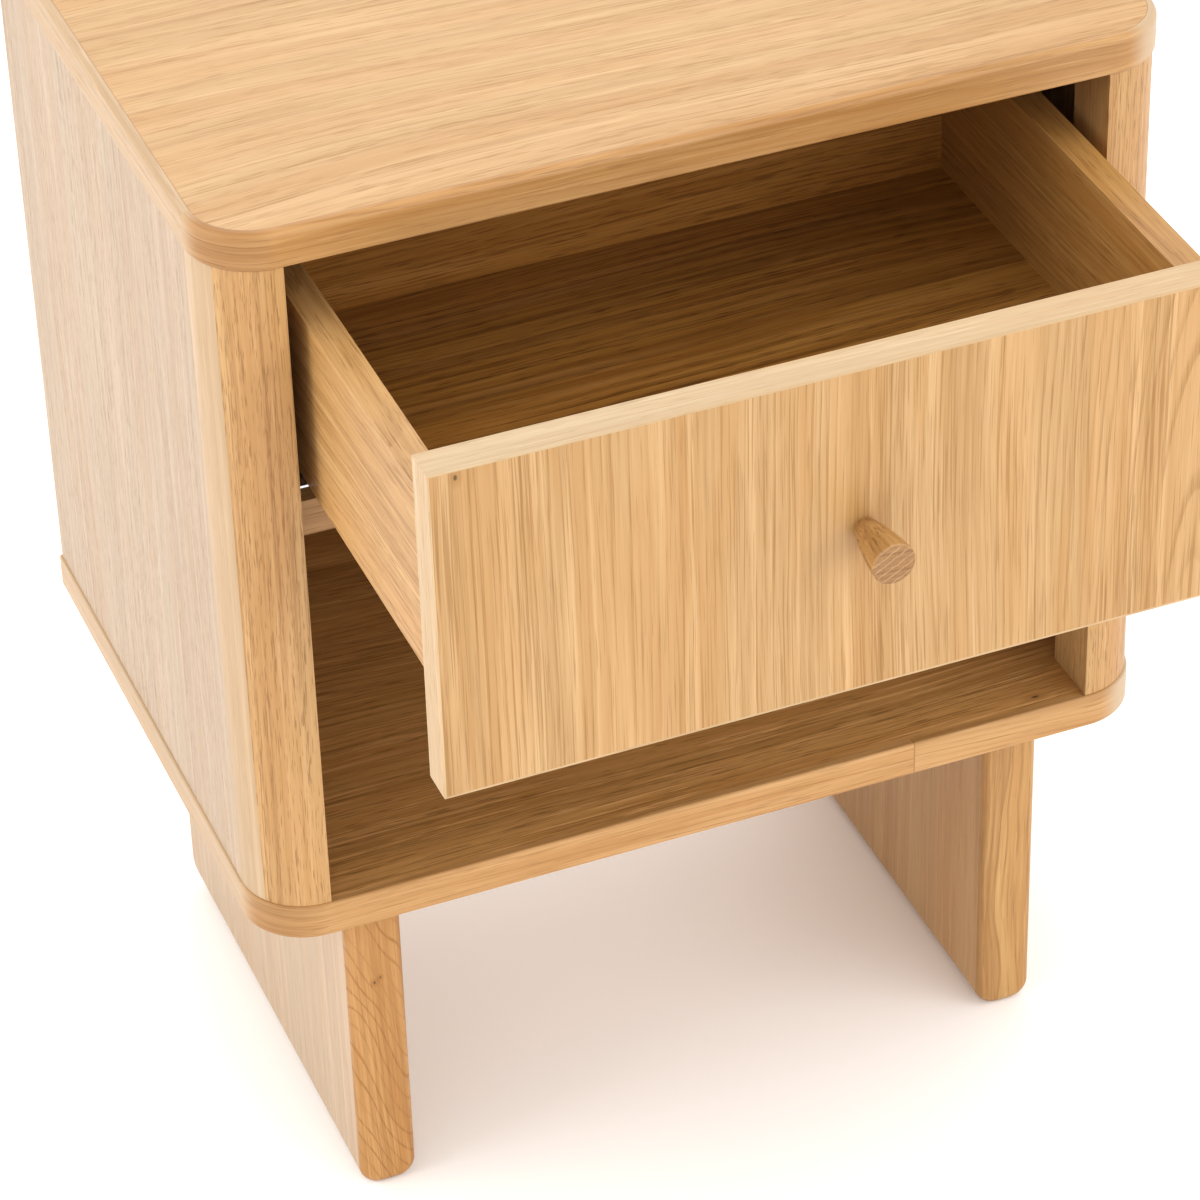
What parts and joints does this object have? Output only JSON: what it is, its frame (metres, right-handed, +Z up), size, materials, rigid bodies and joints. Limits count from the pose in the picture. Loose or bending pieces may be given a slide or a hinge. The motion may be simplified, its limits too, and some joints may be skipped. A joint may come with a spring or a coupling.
{
  "type": "nightstand",
  "caption": "Oak nightstand with a full-extension drawer on undermount runners, an open niche, rounded front corners and slab legs.",
  "frame": {"origin": "on the floor under the middle of the bounding box, with the drawer standing open as pictured", "axes": "+Z up, the front and the drawer's opening direction face -Y, the left side faces -X"},
  "size_m": [0.5, 0.5602, 0.622],
  "materials": {
    "top_veneer": "satin oiled oak veneer, grain across the width",
    "side_veneer": "satin oiled oak veneer, straight upright grain",
    "solid_oak": "satin oiled solid oak",
    "pale_oak": "satin oiled pale oak strip",
    "inner_oak": "satin oak, slightly darker inside",
    "knob_oak": "turned oak, end grain on the flat end, satin oil",
    "beech": "plain beech, unfinished",
    "runner_steel": "zinc-plated rolled steel",
    "screw_steel": "zinc-plated steel",
    "clip_nylon": "matt moulded nylon"
  },
  "bodies": {
    "cabinet": {"top_panel": "top_veneer", "top_front_edging": "solid_oak", "left_top_edging": "solid_oak", "right_top_edging": "solid_oak", "top_rear_edging": "solid_oak", "bottom_panel": "top_veneer", "long_bottom_front_edging": "solid_oak", "short_bottom_front_edging": "solid_oak", "left_bottom_edging": "solid_oak", "right_bottom_edging": "solid_oak", "bottom_rear_edging": "solid_oak", "left_side_panel": "side_veneer", "right_side_panel": "side_veneer", "left_post": "solid_oak", "right_post": "solid_oak", "left_post_lamella": "pale_oak", "right_post_lamella": "pale_oak", "back_panel": "inner_oak", "shelf_panel": "inner_oak", "shelf_front_strip": "solid_oak", "left_packer": "inner_oak", "right_packer": "inner_oak", "left_leg_panel": "side_veneer", "right_leg_panel": "side_veneer", "left_leg_front_edging": "solid_oak", "right_leg_front_edging": "solid_oak", "left_leg_rear_edging": "solid_oak", "right_leg_rear_edging": "solid_oak", "leg_dowels": "beech", "carcass_dowels": "beech", "shelf_dowels": "beech", "packer_screws": "screw_steel", "left_cabinet_member": "runner_steel", "right_cabinet_member": "runner_steel", "runner_screws": "screw_steel"},
    "left_runner_middle": {"left_middle_member": "runner_steel"},
    "right_runner_middle": {"right_middle_member": "runner_steel"},
    "drawer": {"drawer_front_panel": "side_veneer", "drawer_front_top_edging": "pale_oak", "drawer_front_bottom_edging": "pale_oak", "drawer_front_left_edging": "pale_oak", "drawer_front_right_edging": "pale_oak", "drawer_left_side": "inner_oak", "drawer_right_side": "inner_oak", "drawer_back": "inner_oak", "drawer_bottom": "inner_oak", "drawer_dowels": "beech", "left_drawer_member": "runner_steel", "right_drawer_member": "runner_steel", "left_clip": "clip_nylon", "right_clip": "clip_nylon", "clip_screws": "screw_steel", "knob": "knob_oak", "knob_screw": "screw_steel"}
  },
  "joints": [
    {"name": "drawer_slide", "type": "slide", "parent": "cabinet", "child": "drawer", "axis": [0, -1, 0], "range_m": [-0.179, 0.101]},
    {"name": "left_middle_slide", "type": "slide", "parent": "cabinet", "child": "left_runner_middle", "axis": [0, -1, 0], "range_m": [-0.0895, 0.0505]},
    {"name": "right_middle_slide", "type": "slide", "parent": "cabinet", "child": "right_runner_middle", "axis": [0, -1, 0], "range_m": [-0.0895, 0.0505]}
  ],
  "couplings": [
    {"joint": "left_middle_slide", "follows": "drawer_slide", "ratio": 0.5},
    {"joint": "right_middle_slide", "follows": "drawer_slide", "ratio": 0.5}
  ]
}
